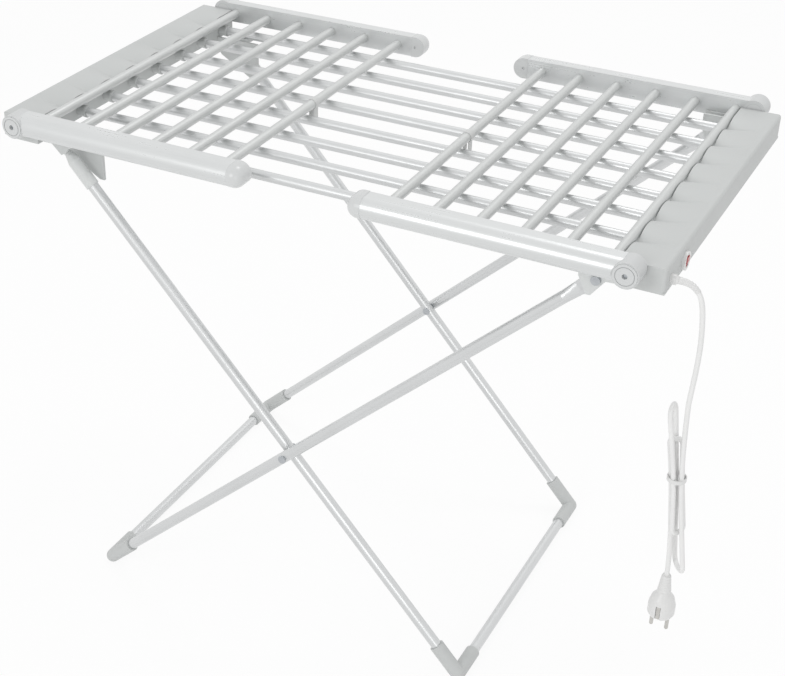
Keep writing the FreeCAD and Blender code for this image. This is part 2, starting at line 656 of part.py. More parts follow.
def inner_leg(end):
    """One inner leg: a plain tube with a hole for the rivet."""
    length = "inner_length - foot_stop - hook_neck"
    straight = tube("leg_diameter", "leg_diameter - 2 * leg_wall", length, 0, 0, "foot_stop")
    rivet_hole = rod("rivet_diameter + 2 * running_play", "2 * leg_diameter", 0, "-leg_diameter",
                     "inner_crossing", ALONG_Y)
    leg = cut(straight, rivet_hole)
    return leg_turn(leg, "inner", "inner_foot_reach", f"({end}) * inner_leg_offset", -1)


def hook_sleeve(end):
    """The plastic sleeve on an inner leg's top, with its neck, head and a hook peg on the inner side."""
    start = "inner_length - sleeve_length"
    body = rod("sleeve_diameter", "sleeve_length - hook_neck", 0, 0, start)
    neck = cone("sleeve_diameter", "hook_head", "hook_head", 0, 0, "inner_length - hook_neck")
    width = "sleeve_diameter - 2 * hook_head_inset"
    head = rod("hook_head", width, 0, f"-({width}) / 2", "inner_length", ALONG_Y)
    shank = rod("hook_head", "hook_neck", 0, 0, "inner_length - hook_neck")
    reach = "sleeve_diameter / 2 + receiver_inner_gap + peg_reach"
    peg = rod("peg_diameter", reach, 0, f"-({reach})" if end > 0 else 0, "inner_length", ALONG_Y)
    bore = rod("leg_diameter + 2 * hole_play", "sleeve_length - hook_neck", 0, 0, start)
    sleeve = cut(fuse(body, neck, head, shank, peg), bore)
    return leg_turn(sleeve, "inner", "inner_foot_reach", f"({end}) * inner_leg_offset", -1)


def elbow_foot(frame, end):
    """One elbow foot: an arm up the leg and an arm along the cross tube, flat underneath."""
    reach, offset = f"{frame}_foot_reach", f"{frame}_leg_offset"
    x = f"-{reach}" if frame == "outer" else reach
    up = rod("foot_diameter", "foot_arm")
    across = rod("foot_diameter", "foot_arm", 0, "-foot_arm" if end > 0 else 0, 0, ALONG_Y)
    depth = "foot_arm - foot_stop"
    leg_seat = rod("leg_diameter + 2 * hole_play", depth, 0, 0, "foot_stop")
    cross_seat = rod("leg_diameter + 2 * hole_play", depth, 0, "-foot_arm" if end > 0 else "foot_stop", 0,
                     ALONG_Y)
    elbow = cut(fuse(ball("foot_diameter"), up, across), leg_seat, cross_seat)
    leg_turn(elbow, frame, x, f"({end}) * {offset}", 1 if frame == "outer" else -1)
    below = block("6 * foot_arm", "4 * foot_arm", "foot_arm", f"{x} - 3 * foot_arm",
                  f"({end}) * {offset} - 2 * foot_arm", "-foot_arm")
    return cut(elbow, below)


def cross_tube(frame):
    """The tube between a leg frame's two feet."""
    half = f"({frame}_leg_offset - foot_stop)"
    x = "-outer_foot_reach" if frame == "outer" else "inner_foot_reach"
    return tube("leg_diameter", "leg_diameter - 2 * leg_wall", f"2 * {half}", x, f"-{half}", "foot_height",
                ALONG_Y)


def crossing_rivet(end):
    """One rivet through both legs where they cross, with a shoulder between the tubes."""
    inside = "inner_leg_offset - leg_diameter / 2 - rivet_head_height"
    outside = "outer_leg_offset + leg_diameter / 2 + rivet_head_height"

    def span(diameter, low, high):
        start = low if end > 0 else f"-({high})"
        return rod(diameter, f"({high}) - ({low})", "crossing_x", start, "crossing_height", ALONG_Y)

    shank = span("rivet_diameter", inside, outside)
    shoulder = span("rivet_head", "inner_leg_offset + leg_diameter / 2 + running_play",
                    "outer_leg_offset - leg_diameter / 2 - running_play")
    heads = [span("rivet_head", inside, f"{inside} + rivet_head_height - running_play"),
             span("rivet_head", f"{outside} - rivet_head_height + running_play", outside)]
    return fuse(shank, shoulder, *heads)


def right_bracket(end):
    """The right box's leg bracket: two cheeks around the flattened leg and a back plate on the box."""
    top, low = "leg_pivot_height + bracket_rise", "leg_pivot_height - bracket_depth"
    back = "box_inner - hole_play"
    corners = [("leg_pivot_reach - bracket_nose", top), (back, top), (back, "box_bottom"),
               ("leg_pivot_reach + bracket_nose / 2", "leg_pivot_height"),
               ("leg_pivot_reach - bracket_nose / 4", low), ("leg_pivot_reach - bracket_nose / 2", low),
               ("leg_pivot_reach - bracket_nose", "leg_pivot_height")]
    cheeks = [plate(corners, "cheek_thickness", f"({end}) * ({y} + cheek_thickness / 2)")
              for y in ("bracket_outer", "bracket_inner")]
    width = "bracket_outer + cheek_thickness - bracket_inner"
    back_plate = block("flange_thickness", width, f"{top} - box_bottom", f"{back} - flange_thickness",
                       "bracket_inner" if end > 0 else f"-bracket_inner - ({width})", "box_bottom")
    bore = rod("bolt_diameter + 2 * hole_play", "4 * leg_diameter", "leg_pivot_reach",
               f"({end}) * outer_leg_offset - 2 * leg_diameter", "leg_pivot_height", ALONG_Y)
    return cut(fuse(*cheeks, back_plate), bore)


def pivot_bolt(end):
    """One zinc bolt and nut that an outer leg turns on."""
    inside = "bracket_inner - bolt_head_height"
    outside = "bracket_outer + cheek_thickness + bolt_head_height"

    def span(diameter, low, high):
        start = low if end > 0 else f"-({high})"
        return rod(diameter, f"({high}) - ({low})", "leg_pivot_reach", start, "leg_pivot_height", ALONG_Y)

    shank = span("bolt_diameter", inside, outside)
    nut = span("bolt_head", inside, f"{inside} + bolt_head_height")
    return fuse(shank, nut, span("bolt_head", f"{outside} - bolt_head_height", outside))


def left_receiver(end):
    """The left box's receiver: a short outer cheek, a tall inner cheek with the hook's channel, flanges."""
    top = "box_bottom - hole_play"
    flange_low = "box_bottom - flange_thickness"
    left = "-(box_inner + flange_length)"
    hook = "-hook_reach"
    short_right = f"{hook} + receiver_front"
    outer_corners = [(left, flange_low), (left, top), (short_right, top),
                     (f"{hook} + 2 * receiver_lip", "hook_height - receiver_lip / 2"),
                     (f"{hook} + receiver_lip", "hook_height - receiver_lip"),
                     (f"{hook} - receiver_lip", flange_low)]
    back, high = "-(box_inner - hole_play)", "box_bottom + receiver_rise"
    right = f"{hook} + receiver_nose"
    low = "hook_height - receiver_tall"
    inner_corners = [(left, flange_low), (left, top), (back, top), (back, high), (right, high), (right, low),
                     (f"{right} - receiver_lip", low),
                     (f"{hook} - receiver_short", "hook_height - receiver_short"),
                     (f"{hook} - 2 * receiver_short", flange_low)]
    outer = plate(outer_corners, "receiver_cheek", f"({end}) * (receiver_outer + receiver_cheek / 2)")
    inner = plate(inner_corners, "receiver_cheek", f"({end}) * (receiver_inner + receiver_cheek / 2)")
    flange_width = "4 * receiver_cheek"
    outer_flange = block("flange_length", flange_width, "flange_thickness - hole_play", left,
                         "receiver_outer" if end > 0 else f"-receiver_outer - {flange_width}", flange_low)
    inner_start = "receiver_inner + receiver_cheek"
    inner_flange = block("flange_length", flange_width, "flange_thickness - hole_play", left,
                         f"{inner_start} - {flange_width}" if end > 0 else f"-({inner_start})", flange_low)
    span = "receiver_outer + receiver_cheek - receiver_inner"
    start = "receiver_inner" if end > 0 else f"-receiver_inner - ({span})"
    bridge = block("bridge_length", span, "bridge_thickness", f"{short_right} - bridge_length", start,
                   f"{top} - bridge_thickness")
    channel = "peg_diameter + 2 * peg_play"
    channel_start = "receiver_inner - overcut" if end > 0 else "-receiver_inner - receiver_cheek - overcut"
    depth = "receiver_cheek + 2 * overcut"
    slot = block("box_inner + flange_length - hook_reach", depth, channel, left, channel_start,
                 f"hook_height - ({channel}) / 2")
    slot_end = rod(channel, depth, hook, channel_start, "hook_height", ALONG_Y)
    return cut(fuse(outer, inner, outer_flange, inner_flange, bridge), slot, slot_end)


def switch_bezel():
    """The round switch's bezel and body, with a window for the rocker."""
    flange = rod("switch_diameter", "switch_proud", "box_outer", "-switch_offset", "inlet_height", ALONG_X)
    body = rod("switch_body", "switch_depth", "box_outer - switch_depth", "-switch_offset", "inlet_height",
               ALONG_X)
    width, height = "rocker_width + 2 * rocker_play", "rocker_height + 2 * rocker_swing_gap"
    depth = "switch_proud + switch_depth - box_wall"
    window = block(depth, width, height, f"box_outer + switch_proud - ({depth})",
                   f"-switch_offset - ({width}) / 2", f"inlet_height - ({height}) / 2")
    length = "rocker_width + 2 * rocker_pin_reach + 2 * rocker_play"
    pin_hole = rod("rocker_pin + 2 * running_play", length,
                   "box_outer + switch_proud + rocker_proud - rocker_depth",
                   f"-switch_offset - ({length}) / 2", "inlet_height", ALONG_Y)
    return cut(fuse(flange, body), window, pin_hole)


def switch_rocker():
    """The rocker, bevelled from its middle to both ends and tilted to off."""
    edge = "rocker_depth - rocker_crown"
    corners = [("0", "-rocker_height / 2"), (edge, "-rocker_height / 2"), ("rocker_depth", "0"),
               (edge, "rocker_height / 2"), ("0", "rocker_height / 2")]
    length = "rocker_width + 2 * rocker_pin_reach"
    pin = rod("rocker_pin", length, 0, f"-({length}) / 2", 0, ALONG_Y)
    rocker = fuse(plate(corners, "rocker_width", "0"), pin)
    place(rocker, "box_outer + switch_proud + rocker_proud - rocker_depth", "-switch_offset", "inlet_height",
          Rotation(Vector(0, 1, 0), 45))
    return bind(rocker, **{"Placement.Rotation.Angle": "rocker_tilt"})


def cable_gland():
    """The gland that holds the cord in the right box's outer wall."""
    axis = ("-inlet_offset", "inlet_height", ALONG_X)
    thread = rod("gland_thread", "gland_stub", "box_outer - gland_stub", *axis)
    collar = rod("gland_diameter", "gland_collar", "box_outer", *axis)
    taper = cone("gland_diameter - 2 * gland_step", "cord_diameter + 2 * gland_lip", "gland_taper",
                 "box_outer + gland_collar", *axis)
    return fuse(thread, collar, taper)


def terminal_block():
    """The block where the cord's wires meet the heaters' wires."""
    y = "-centre_bar_pitch - terminal_width"
    base = block("terminal_length", "terminal_width", "terminal_height",
                 "screw_line - terminal_length / 2", y, "cover_bottom")
    holes = [rod("terminal_bore", "terminal_sink + overcut", "screw_line",
                 f"{y} + terminal_width / 2 + ({step}) * terminal_pitch",
                 "cover_bottom + terminal_height - terminal_sink") for step in (-1, 0, 1)]
    return cut(base, *holes)


def thermal_cutout():
    """The thermal cut-out that lies on the right box's base."""
    start = "-cutout_length / 2"
    barrel = rod("cutout_diameter", "cutout_length", "screw_line", start,
                 "cover_bottom + cutout_diameter / 2", ALONG_Y)
    foot = block("cutout_diameter", "cutout_length", "cutout_foot", "screw_line - cutout_diameter / 2", start,
                 "cover_bottom")
    return fuse(barrel, foot)


def rounded_route(points, share, largest=math.inf):
    """Straight runs joined by tangent arcs, each as large as its share of the shorter run allows.

    Returns the wire and the arcs' radii.
    """
    edges, radii = [], []
    start = points[0]
    for before, corner, after in zip(points, points[1:], points[2:]):
        back, ahead = (before - corner), (after - corner)
        turn = math.pi - back.getAngle(ahead)
        reach = min(share * min(back.Length, ahead.Length), largest * math.tan(turn / 2))
        radii.append(reach / math.tan(turn / 2))
        first = corner + back.normalize() * reach
        last = corner + ahead.normalize() * reach
        inward = (back + ahead).normalize()
        middle = corner + inward * radii[-1] * (1 / math.cos(turn / 2) - 1)
        edges.append(Part.LineSegment(start, first).toShape())
        edges.append(Part.Arc(first, middle, last).toShape())
        start = last
    edges.append(Part.LineSegment(start, points[-1]).toShape())
    return Part.Wire(edges), radii


def cord_along(name, points, share, largest=math.inf):
    """A tube of the cord's diameter along a rounded route, with its volume and bends printed."""
    wire, radii = rounded_route(points, share, largest)
    radius = size("cord_diameter / 2")
    ring = Part.Wire(Part.Circle(points[0], points[1] - points[0], radius).toShape())
    solid = wire.makePipeShell([ring], True, False)
    expected = math.pi * radius ** 2 * wire.Length
    print(f"{name}: length {wire.Length:.1f}, volume ratio {solid.Volume / expected:.5f}, "
          f"bends {min(radii):.1f} to {max(radii):.1f}")
    return solid, wire


# The cord's free stretch, from the gland down to the hank, as X, Y and Z
CORD_ROUTE = [(451, -220, 681), (461, -220, 681), (470.5, -220, 675), (477, -220.1, 664.5),
              (481, -220.4, 645), (483.8, -220.9, 612), (483.6, -221.6, 580), (482, -222.5, 547)]
HANK_CENTRE = Vector(481, -220, 431)
HANK_STRANDS = 5
HANK_FIRST_ANGLE = -33
HANK_STEP = 144
HANK_WAIST = 6.2
HANK_LEAN_UP = 0.14
HANK_LEAN_DOWN = 0.12
WAIST_BEND = 200
# Loops in turn: height of the turn above the floor, and how far its strands stand from the hank's axis
HANK_LOOPS = [(303, 13.5), (525, 13), (357, 9), (482, 8)]
PLUG_TOP = 290
PLUG_RUN = 34
TIE_HEIGHT = 5
TIE_WALL = 1.4
TIE_GAP = 0.8


def hank_point(strand, distance, height):
    """A point of a strand, at a distance from the hank's leaning axis."""
    angle = math.radians(HANK_FIRST_ANGLE + strand * HANK_STEP)
    above = height - HANK_CENTRE.z
    lean = -HANK_LEAN_UP * above if above > 0 else -HANK_LEAN_DOWN * above
    across = Vector(lean + distance * math.cos(angle), distance * math.sin(angle), above)
    return HANK_CENTRE + across


def hank_route():
    """The hank's strands in turn: in at the top, through the waist to each loop, and out to the plug."""
    top, before = Vector(*CORD_ROUTE[-1]), Vector(*CORD_ROUTE[-2])
    route = [top, top + (top - before).normalize() * 3 * size("cord_diameter")]
    for strand in range(HANK_STRANDS):
        route.append(hank_point(strand, HANK_WAIST, HANK_CENTRE.z))
        if strand < len(HANK_LOOPS):
            height, distance = HANK_LOOPS[strand]
            route.append(hank_point(strand, distance, height))
            route.append(hank_point(strand + 1, distance, height))
    end = hank_point(HANK_STRANDS - 1, HANK_WAIST, PLUG_TOP + PLUG_RUN)
    return route + [end, Vector(end.x, end.y, PLUG_TOP)]


def least_gap(wire, diameter):
    """Least gap between the tube's stretches that aren't neighbours, on points along its line."""
    step = diameter / 6
    points = wire.discretize(Distance=step)
    apart = int(2.2 * diameter / step)
    count = len(points)
    nearest = min((points[a] - points[b]).Length for a in range(count) for b in range(a + apart, count))
    return nearest - diameter


def plug_body():
    """The plug: a tapered neck, a round body and two slots for the earth clips, hanging from the hank."""
    thin = "cord_diameter / 2 + plug_neck_wall"
    corners = [("0", "0"), (thin, "0"), (f"{thin} + plug_neck_flare", "-plug_neck"),
               ("plug_shoulder / 2", "-plug_neck - plug_shoulder_drop"),
               ("plug_diameter / 2", "-plug_neck - plug_swell"),
               ("plug_diameter / 2", "plug_bevel - plug_length"),
               ("plug_diameter / 2 - plug_bevel_inset", "-plug_length"), ("0", "-plug_length")]
    slots = [block("earth_slot_width", "earth_slot_depth + overcut", "earth_slot_height + overcut",
                   "-earth_slot_width / 2", y, "-plug_length - overcut")
             for y in ("plug_diameter / 2 - earth_slot_depth", "-plug_diameter / 2 - overcut")]
    return hang(cut(turned(corners), *slots))


def plug_pins():
    """The plug's two round-tipped pins and its two earth clips."""
    tip = "-plug_length - pin_length"
    pins = []
    for side in SIDES.values():
        x = f"({side}) * pin_spacing / 2"
        pins.append(fuse(rod("pin_diameter", "pin_length", x, 0, tip), ball("pin_diameter", x, 0, tip)))
    clips = [block("earth_clip_width", "earth_clip_thickness", "earth_clip_height",
                   "-earth_clip_width / 2", y, "-plug_length + earth_slot_height - earth_clip_height")
             for y in ("plug_diameter / 2 - earth_slot_depth",
                       "earth_slot_depth - earth_clip_thickness - plug_diameter / 2")]
    return hang(group(pins + clips))


def hang(feature):
    """Hang a piece that was made at the origin from the hank's lower end."""
    end = hank_route()[-1]
    return place(feature, end.x, end.y, end.z)


def cord_tie():
    """The tie around the hank's waist."""
    inside = 2 * (HANK_WAIST + TIE_GAP) + size("cord_diameter")
    spot = (HANK_CENTRE.x, HANK_CENTRE.y, HANK_CENTRE.z - TIE_HEIGHT / 2)
    return tube(inside + 2 * TIE_WALL, inside, TIE_HEIGHT, *spot)


def build_centre_frame():
    """Boxes, centre bars, brackets and everything that stays still with them."""
    for name, side in SIDES.items():
        node(f"{name}_box_cover", box_cover(side))
        node(f"{name}_box_base", box_base(side))
    for index in range(CENTRE_BARS):
        bar = tube("bar_diameter", "bar_bore", "2 * centre_bar_half", "-centre_bar_half", centre_bar_y(index),
                   "centre_bar_height", ALONG_X)
        node(f"centre_bar_{index + 1}", bar)
    node("centre_heaters", group(heater("centre_bar_half", 0, centre_bar_y(index), "centre_bar_height", "x")
                                 for index in range(CENTRE_BARS)))
    node("right_brackets", group(right_bracket(end) for end in ENDS.values()))
    node("left_receivers", group(left_receiver(end) for end in ENDS.values()))
    node("leg_pivot_bolts", group(pivot_bolt(end) for end in ENDS.values()))
    node("wing_pivot_screws", group(pivot_screw(side, end) for side in SIDES.values()
                                    for end in ENDS.values()))
    node("box_screws", group(box_screw(side, y) for side in SIDES.values() for y in screw_spots()))
    node("terminal_block", terminal_block())
    node("thermal_cutout", thermal_cutout())
    node("switch_bezel", switch_bezel())
    node("switch_rocker", switch_rocker())


def build_wing(name, side):
    """One wing with its bars, tubes, hubs, caps, heating rods and clip."""
    for end_name, end in ENDS.items():
        node(f"{name}_tube_{end_name}", wing_tube(side, end))
    for index in range(WING_BARS):
        bar = tube("bar_diameter", "bar_bore", "2 * wing_bar_half", wing_bar_x(side, index), "-wing_bar_half",
                   "pivot_height", ALONG_Y)
        node(f"{name}_bar_{index + 1}", bar)
    node(f"{name}_heaters", group(heater("wing_bar_half", wing_bar_x(side, index), 0, "pivot_height", "y")
                                  for index in range(WING_BARS)))
    node(f"{name}_hubs", group(wing_hub(side, end) for end in ENDS.values()))
    node(f"{name}_end_caps", group(wing_end_cap(side, end) for end in ENDS.values()))
    node(f"{name}_clip", wing_clip(side))


def build_legs():
    """Both leg frames and the rivets that join them."""
    node("outer_legs", group(outer_leg(end) for end in ENDS.values()))
    node("inner_legs", group(inner_leg(end) for end in ENDS.values()))
    node("inner_hooks", group(hook_sleeve(end) for end in ENDS.values()))
    for frame in ("outer", "inner"):
        node(f"{frame}_cross_tube", cross_tube(frame))
        node(f"{frame}_feet", group(elbow_foot(frame, end) for end in ENDS.values()))
    node("crossing_rivets", group(crossing_rivet(end) for end in ENDS.values()))


def build_cord():
    """The gland, the hanging cord, its tied hank and the plug."""
    node("cable_gland", cable_gland())
    free, _ = cord_along("mains_cord", [Vector(*spot) for spot in CORD_ROUTE], 0.45)
    node("mains_cord", shaped(free))
    loops, line = cord_along("cord_hank", hank_route(), 0.49, WAIST_BEND)
    print(f"cord_hank: least gap to itself {least_gap(line, size('cord_diameter')):.2f}")
    node("cord_hank", shaped(loops))
    node("cord_tie", cord_tie())
    node("plug_body", plug_body())
    node("plug_pins", plug_pins())


def write_parts():
    """Check every object, then write each sub-part to its own file."""
    doc.recompute()
    faults = [item.Label for item in doc.Objects if {"Invalid", "Error"} & set(item.State)]
    for feature in nodes:
        shape = feature.Shape
        if shape.isNull() or not shape.isValid() or not shape.Solids:
            faults.append(feature.Label)
    if faults:
        raise RuntimeError("failed: " + ", ".join(faults))
    os.makedirs("parts", exist_ok=True)
    for feature in nodes:
        feature.Shape.exportStep(f"parts/{feature.Label}.step")
        print(f"{feature.Label}: {len(feature.Shape.Solids)} solids, {feature.Shape.Volume:.0f} mm3")
    print(f"{len(nodes)} nodes")


build_centre_frame()
for wing_name, wing_side in SIDES.items():
    build_wing(wing_name, wing_side)
build_legs()
build_cord()
write_parts()
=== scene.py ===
"""Electric heated clothes airer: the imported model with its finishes, mains lead, light and camera.

Everything is in metres in the model's own frame: X along the length, Y to the rear, Z up from the
floor.
"""
import json
import logging
import math
from dataclasses import dataclass
from enum import Enum
from typing import Any, ClassVar, Dict, List, Tuple, Union

import bpy
import numpy as np
from mathutils import Matrix, Vector


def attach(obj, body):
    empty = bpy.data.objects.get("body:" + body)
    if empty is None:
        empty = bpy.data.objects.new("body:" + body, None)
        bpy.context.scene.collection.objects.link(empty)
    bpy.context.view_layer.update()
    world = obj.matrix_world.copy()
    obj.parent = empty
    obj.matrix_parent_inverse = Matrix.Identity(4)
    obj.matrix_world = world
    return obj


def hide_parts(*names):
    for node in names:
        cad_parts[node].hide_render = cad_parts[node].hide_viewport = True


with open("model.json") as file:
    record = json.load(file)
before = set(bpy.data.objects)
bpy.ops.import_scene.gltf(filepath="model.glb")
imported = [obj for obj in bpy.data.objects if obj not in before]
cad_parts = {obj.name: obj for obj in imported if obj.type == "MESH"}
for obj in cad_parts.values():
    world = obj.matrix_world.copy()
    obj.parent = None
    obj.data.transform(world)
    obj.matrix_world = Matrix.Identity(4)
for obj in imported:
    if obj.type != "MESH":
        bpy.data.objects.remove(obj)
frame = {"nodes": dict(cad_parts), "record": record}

log = logging.getLogger("airer")
Colour = Tuple[float, float, float]
Point = Tuple[float, float, float]
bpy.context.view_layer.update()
IMAGE_WIDTH, IMAGE_HEIGHT = 785, 676
WHITE = (1.0, 1.0, 1.0, 1.0)


class Grain(Enum):
    """The way a tube was drawn.

    Each has the turn about Y, in degrees, that lays the tube along X, and whether it lies along Y.
    """

    LENGTH = (0.0, False)
    DEPTH = (0.0, True)
    OUTER_LEG = (43.5, False)
    INNER_LEG = (-47.5, False)

    def __init__(self, turn: float, along_depth: bool) -> None:
        """Hold the turn and the direction under their own names."""
        self.turn = turn
        self.along_depth = along_depth


class Value:
    """A number on a node's output, with arithmetic that adds Math nodes."""

    NOISE_MIDDLE: ClassVar[float] = 0.5

    def __init__(self, graph: "Graph", socket: bpy.types.NodeSocket) -> None:
        """Hold a socket and the graph that it belongs to."""
        self.graph = graph
        self.socket = socket

    def _math(self, operation: str, *terms: Any) -> "Value":
        """Add one Math node.

        Args:
            operation: the Math node's operation.
            terms: its values or links, in order.

        Returns:
            The node's result.
        """
        node = self.graph.add("ShaderNodeMath", {"operation": operation}, dict(enumerate(terms)))
        return Value(self.graph, node.outputs[0])

    def __add__(self, other: Any) -> "Value":
        """Sum."""
        return self._math("ADD", self, other)

    __radd__ = __add__

    def __sub__(self, other: Any) -> "Value":
        """Difference."""
        return self._math("SUBTRACT", self, other)

    def __rsub__(self, other: Any) -> "Value":
        """Difference, the other way round."""
        return self._math("SUBTRACT", other, self)

    def __mul__(self, other: Any) -> "Value":
        """Product."""
        return self._math("MULTIPLY", self, other)

    def __truediv__(self, other: Any) -> "Value":
        """Quotient."""
        return self._math("DIVIDE", self, other)

    def __pow__(self, other: Any) -> "Value":
        """Power."""
        return self._math("POWER", self, other)

    def __abs__(self) -> "Value":
        """Size without sign."""
        return self._math("ABSOLUTE", self)

    def near(self, centre: float, width: float) -> "Value":
        """One at a centre, falling in a straight line to nothing at a width away.

        Args:
            centre: where the result is one.
            width: how far from there it reaches nothing.

        Returns:
            The result, never below nothing.
        """
        share = 1 - abs(self - centre) / width
        return share._math("MAXIMUM", share, 0.0)

    def swing(self, amount: float) -> "Value":
        """A noise's distance from its middle, times an amount."""
        return (self - self.NOISE_MIDDLE) * amount


class Graph:
    """The nodes of one material or world."""

    MIX_SHARE, MIX_FIRST, MIX_SECOND, MIX_COLOUR = 0, 6, 7, 2

    def __init__(self, tree: bpy.types.NodeTree) -> None:
        """Start from an empty tree."""
        self.tree = tree
        tree.nodes.clear()

    def add(self, kind: str, settings: Dict[str, Any],
            sockets: Dict[Union[str, int], Any]) -> bpy.types.Node:
        """Add a node, set its settings, then its sockets.

        Args:
            kind: the node's type.
            settings: its own settings by name.
            sockets: values or links by the socket's name or number.

        Returns:
            The node.
        """
        node = self.tree.nodes.new(kind)
        for name, setting in settings.items():
            setattr(node, name, setting)
        for key, value in sockets.items():
            source = value.socket if isinstance(value, Value) else value
            if isinstance(source, bpy.types.NodeSocket):
                self.tree.links.new(source, node.inputs[key])
            else:
                node.inputs[key].default_value = source
        return node

    def object_coordinates(self) -> bpy.types.NodeSocket:
        """The socket with a point's place in the object's own frame."""
        return self.add("ShaderNodeTexCoord", {}, {}).outputs["Object"]

    def axes(self) -> List[Value]:
        """Split a point's place into its parts.

        Returns:
            X, Y and Z in metres.
        """
        split = self.add("ShaderNodeSeparateXYZ", {}, {0: self.object_coordinates()})
        return [Value(self, socket) for socket in split.outputs]

    def noise(self, repeats: Union[float, Point], detail: float = 3.0, turn: float = 0.0) -> Value:
        """Soft noise from about 0.3 to 0.7.

        Args:
            repeats: pattern repeats in a metre, the same for all axes or one for each.
            detail: the noise's finer layers.
            turn: the coordinates' turn about Y in degrees, made before they are scaled.

        Returns:
            The noise.
        """
        scale = repeats if isinstance(repeats, tuple) else (repeats, repeats, repeats)
        turned = self.add("ShaderNodeMapping", {"vector_type": "POINT"},
                          {"Vector": self.object_coordinates(),
                           "Rotation": (0.0, math.radians(turn), 0.0)})
        scaled = self.add("ShaderNodeVectorMath", {"operation": "MULTIPLY"},
                          {0: turned.outputs[0], 1: scale})
        node = self.add("ShaderNodeTexNoise", {},
                        {"Vector": scaled.outputs[0], "Scale": 1.0, "Detail": detail})
        return Value(self, node.outputs["Fac"])

    def mix(self, share: Value, first: Any, second: Any) -> bpy.types.NodeSocket:
        """A colour between two by a share.

        Args:
            share: 0 for the first colour, 1 for the second.
            first: a colour or a colour socket.
            second: a colour or a colour socket.

        Returns:
            The mixed colour's socket.
        """
        ends = [(*end, 1.0) if isinstance(end, tuple) else end for end in (first, second)]
        node = self.add("ShaderNodeMix", {"data_type": "RGBA"},
                        {self.MIX_SHARE: share, self.MIX_FIRST: ends[0], self.MIX_SECOND: ends[1]})
        return node.outputs[self.MIX_COLOUR]

    def bump(self, height: Value, depth: float) -> bpy.types.NodeSocket:
        """A normal from a height between 0 and 1 that stands for a depth in metres."""
        node = self.add("ShaderNodeBump", {}, {"Height": height, "Distance": depth, "Strength": 1.0})
        return node.outputs[0]

    def seen_share(self) -> Value:
        """Tell the rays that show a surface from those that only light others.

        Returns:
            One for rays from the camera, in reflections and through clear pieces, else nothing.
        """
        ray = self.add("ShaderNodeLightPath", {}, {})
        camera, glossy, through = (Value(self, ray.outputs[name]) for name in (
            "Is Camera Ray", "Is Glossy Ray", "Is Transmission Ray"))
        return camera + glossy + through

    def surface(self, sockets: Dict[str, Any]) -> None:
        """Close a material with one Principled shader."""
        shader = self.add("ShaderNodeBsdfPrincipled", {}, sockets)
        self.add("ShaderNodeOutputMaterial", {}, {"Surface": shader.outputs[0]})


def new_material(name: str) -> Tuple[bpy.types.Material, Graph]:
    """Start a node material.

    Args:
        name: the material's name.

    Returns:
        The material and its empty graph.
    """
    material = bpy.data.materials.new(name)
    material.use_nodes = True
    return material, Graph(material.node_tree)


@dataclass(frozen=True)
class Moulding:
    """Moulded plastic: fine grain, a slow change of tone and a faint sheen."""

    name: str
    tone: Colour
    shade: Colour
    roughness: float
    grain: float = 0.00006
    coat: float = 0.0
    slow_repeats: float = 7.0
    fine_repeats: float = 1400.0
    fine_detail: float = 2.0
    slow_share: float = 0.75
    fine_share: float = 0.25
    slow_swing: float = 0.15
    fine_swing: float = 0.25
    coat_roughness: float = 0.25

    def build(self) -> bpy.types.Material:
        """Make the plastic.

        Returns:
            Its material.
        """
        material, graph = new_material(self.name)
        slow = graph.noise(self.slow_repeats)
        fine = graph.noise(self.fine_repeats, self.fine_detail)
        tone = graph.mix(slow * self.slow_share + fine * self.fine_share, self.tone, self.shade)
        rough = self.roughness + fine.swing(self.fine_swing) + slow.swing(self.slow_swing)
        graph.surface({"Base Color": tone, "Roughness": rough, "Coat Weight": self.coat,
                       "Coat Roughness": self.coat_roughness, "Normal": graph.bump(fine, self.grain)})
        return material


@dataclass(frozen=True)
class HubMoulding:
    """The hubs' plastic: as the boxes', with a thin ring of painted shade around each face."""

    name: str
    tone: Colour
    shade: Colour
    reach: float = 0.404
    height: float = 0.697
    ring: float = 0.0108
    ring_width: float = 0.0007
    # painted shade: the dark colour of the shaded ring around each hub face
    ring_shade_tone: Colour = (0.36, 0.37, 0.38)
    ring_shade_share: float = 0.35
    roughness: float = 0.47
    grain: float = 0.00006
    slow_repeats: float = 9.0
    fine_repeats: float = 1400.0
    fine_detail: float = 2.0
    slow_share: float = 0.75
    fine_share: float = 0.25
    fine_swing: float = 0.25

    def build(self) -> bpy.types.Material:
        """Make the plastic, with a ring of painted shade around each pivot's axis.

        Returns:
            Its material.
        """
        material, graph = new_material(self.name)
        x, _, z = graph.axes()
        distance = ((abs(x) - self.reach) ** 2.0 + (z - self.height) ** 2.0) ** 0.5
        # mask of the painted shade ring around each pivot's axis
        ring_shade_mask = distance.near(self.ring, self.ring_width)
        fine = graph.noise(self.fine_repeats, self.fine_detail)
        slow = graph.noise(self.slow_repeats)
        plain = graph.mix(slow * self.slow_share + fine * self.fine_share, self.tone, self.shade)
        # mixes the painted shade of the ring on each hub face into the plastic's colour
        grooved = graph.mix(ring_shade_mask * self.ring_shade_share, plain, self.ring_shade_tone)
        graph.surface({"Base Color": grooved, "Roughness": self.roughness + fine.swing(self.fine_swing),
                       "Normal": graph.bump(fine, self.grain)})
        return material


